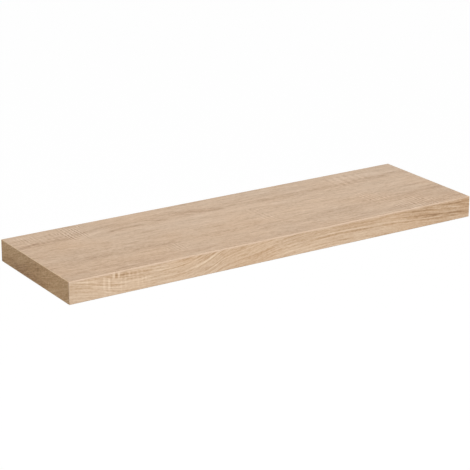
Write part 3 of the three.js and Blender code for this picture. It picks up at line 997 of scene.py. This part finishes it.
def make_bracket():
    """The stamped plate, its two rods and the welds that join them."""
    plate = dressed("wall_plate", "stamped_plate", [FINISH["plate"], FINISH["sheared"]], 0.35,
                    lambda normal: int(abs(normal.y) < 0.5))
    seat(plate, "bracket", "zinc_steel", "wall_plate")
    make_rods()
    grown("weld_beads", bead_tree(), "bracket", "zinc_steel", finish=FINISH["weld"])


def thread_tree():
    """The coarse thread on both lock screws: a sharp ridge that runs out at each end."""
    tree, size = new_tree("screw_threads", apart=2 * ROD_AT * MM, back=SCREW_BACK * MM,
                          low=SHANK_START * MM, length=THREAD_LENGTH * MM, pitch=THREAD_PITCH * MM,
                          core=THREAD_CORE * MM, ridge=THREAD_RIDGE * MM)
    turns = calc(tree, "DIVIDE", size["length"], size["pitch"])
    spiral = add(tree, "GeometryNodeCurveSpiral",
                 {"Resolution": POINTS_A_TURN, "Rotations": turns, "Start Radius": size["core"],
                  "End Radius": size["core"], "Height": size["length"]})
    spiral = add(tree, "GeometryNodeSetCurveNormal", {"Curve": spiral}, mode="Z_UP")
    factor = add(tree, "GeometryNodeSplineParameter").node.outputs["Factor"]
    run_in = spread(tree, factor, 0.0, THREAD_FADE, THREAD_FADED, 1.0)
    run_out = spread(tree, factor, 1.0 - THREAD_FADE, 1.0, 1.0, THREAD_FADED)
    height = calc(tree, "MINIMUM", run_in, run_out)
    section = add(tree, "GeometryNodeCurvePrimitiveCircle",
                  {"Resolution": THREAD_SIDES, "Radius": size["ridge"]})
    outward = turn_about(tree, (0, 0, 1), math.pi)
    section = add(tree, "GeometryNodeTransform", {"Geometry": section, "Rotation": outward})
    ridge = add(tree, "GeometryNodeCurveToMesh",
                {"Curve": spiral, "Profile Curve": section, "Scale": height, "Fill Caps": True})
    close_tree(tree, one_each_side(tree, ridge, size, Y=size["back"], Z=size["low"]), False)
    return tree


def recess_cutter(name, placing):
    """The space of a cross recess: a plus in section, tapered to its floor, to cut a screw's head with."""
    shape = bmesh.new()
    levels = []
    for depth, length, width in RECESS_LEVELS:
        quarter = [Vector((x, y, HEAD_FACE + depth))
                   for x, y in ((length, -width), (length, width), (width, width))]
        turns = [Matrix.Rotation(i * math.pi / 2, 3, "Z") for i in range(4)]
        levels.append([shape.verts.new(turn @ corner) for turn in turns for corner in quarter])
    low, high = levels
    for i in range(len(low)):
        shape.faces.new((low[i - 1], low[i], high[i], high[i - 1]))
    shape.faces.new(low)
    shape.faces.new(high)
    mesh = to_mesh(name, shape, placing @ Matrix.Rotation(math.pi / 4, 4, "Z"))
    return new_piece(name, mesh, [FINISH["screw"]])


def make_screws():
    """The two countersunk lock screws, with a cross recess in the head and a coarse thread."""
    profile = [
        (0, HEAD_FACE), (HEAD_RADIUS - HEAD_EASE, HEAD_FACE), (HEAD_RADIUS, HEAD_FACE + HEAD_EASE),
        (HEAD_RADIUS, CONE_START), (NECK_RADIUS, CONE_END), (THREAD_CORE, SHANK_START),
        (THREAD_CORE, SCREW_TIP - TIP_TAPER), (THREAD_CORE - TIP_TAPER, SCREW_TIP), (0, SCREW_TIP),
    ]
    for side, sign in SIDES:
        placing = Matrix.Translation((sign * ROD_AT * MM, SCREW_BACK * MM, 0))
        screw = turned(f"{side}_screw", profile, placing, FINISH["screw"])
        cutter = recess_cutter(f"{side}_recess", placing)
        recess = screw.modifiers.new("recess", "BOOLEAN")
        recess.object = cutter
        recess.solver = "EXACT"
        make_plain(screw)
        bpy.data.objects.remove(cutter)
        seat(screw, "board", "zinc_steel", f"{side}_lock_screw")
    grown("screw_threads", thread_tree(), "board", "zinc_steel", finish=FINISH["screw"])


def make_camera():
    """A camera that sees the shelf as the photograph does."""
    data = bpy.data.cameras.new("camera")
    data.lens = CAMERA_LENS_MM
    data.sensor_width = SENSOR_MM
    data.clip_end = CAMERA_REACH
    camera = bpy.data.objects.new("camera", data)
    bpy.context.scene.collection.objects.link(camera)
    turn = (CAMERA_AIM - CAMERA_PLACE).to_track_quat("-Z", "Y").to_matrix().to_4x4()
    camera.matrix_world = Matrix.Translation(CAMERA_PLACE) @ turn @ Matrix.Rotation(CAMERA_ROLL, 4, "Z")
    bpy.context.scene.camera = camera


def make_key_light():
    """A wide soft box in front of the shelf and above it."""
    data = bpy.data.lights.new("key_light", "AREA")
    data.energy = KEY_WATTS
    data.shape = "SQUARE"
    data.size = KEY_SIZE
    lamp = bpy.data.objects.new("key_light", data)
    bpy.context.scene.collection.objects.link(lamp)
    lamp.location = (cad_low + cad_high) / 2 + KEY_FROM.normalized() * KEY_DISTANCE
    lamp.rotation_euler = KEY_FROM.to_track_quat("Z", "Y").to_euler()


def seen_directly(tree):
    """1 for rays from the camera, from a reflection or through clear material, and 0 for light."""
    paths = add(tree, "ShaderNodeLightPath").node.outputs
    seen = calc(tree, "MAXIMUM", paths["Is Camera Ray"], paths["Is Glossy Ray"])
    return calc(tree, "MAXIMUM", seen, paths["Is Transmission Ray"])


def make_floor():
    """A pale floor well below the shelf. It shows as white, but for the shelf's shadow, and from below
    it isn't there."""
    mesh = bpy.data.meshes.new("floor")
    corners = [(x * FLOOR_REACH, y * FLOOR_REACH, -FLOOR_BELOW)
               for x, y in ((-1, -1), (1, -1), (1, 1), (-1, 1))]
    mesh.from_pydata(corners, [], [(0, 1, 2, 3)])
    material = bpy.data.materials.new("pale_floor")
    tree = emptied(material)
    seen = seen_directly(tree)
    plain = add(tree, "ShaderNodeBsdfDiffuse", {"Color": (FLOOR_TONE, FLOOR_TONE, FLOOR_TONE, 1)})
    pale = add(tree, "ShaderNodeBsdfDiffuse", {"Color": WHITE})
    glow = add(tree, "ShaderNodeEmission", {"Color": WHITE, "Strength": FLOOR_GLOW})
    white = add(tree, MIX_SHADER, {0: FLOOR_GLOW_SHARE, 1: pale, 2: glow})
    above = add(tree, MIX_SHADER, {0: seen, 1: plain, 2: white})
    behind = add(tree, "ShaderNodeNewGeometry").node.outputs["Backfacing"]
    clear = add(tree, "ShaderNodeBsdfTransparent")
    surface = add(tree, MIX_SHADER, {0: behind, 1: above, 2: clear})
    add(tree, "ShaderNodeOutputMaterial", {"Surface": surface})
    floor = new_piece("floor", mesh, [material])


def make_world():
    """Even light from all round. The camera and reflections see it as white."""
    world = bpy.data.worlds.new("studio")
    bpy.context.scene.world = world
    tree = emptied(world)
    strength = spread(tree, seen_directly(tree), 0.0, 1.0, AMBIENT, 1.0)
    light = add(tree, "ShaderNodeBackground", {"Color": WHITE, "Strength": strength})
    add(tree, "ShaderNodeOutputWorld", {"Surface": light})


make_camera()
make_floor()
make_world()
make_key_light()
dress_board()
dress_frame()
fill_bays()
make_bracket()
make_screws()

bpy.context.scene.view_settings.view_transform = "Standard"
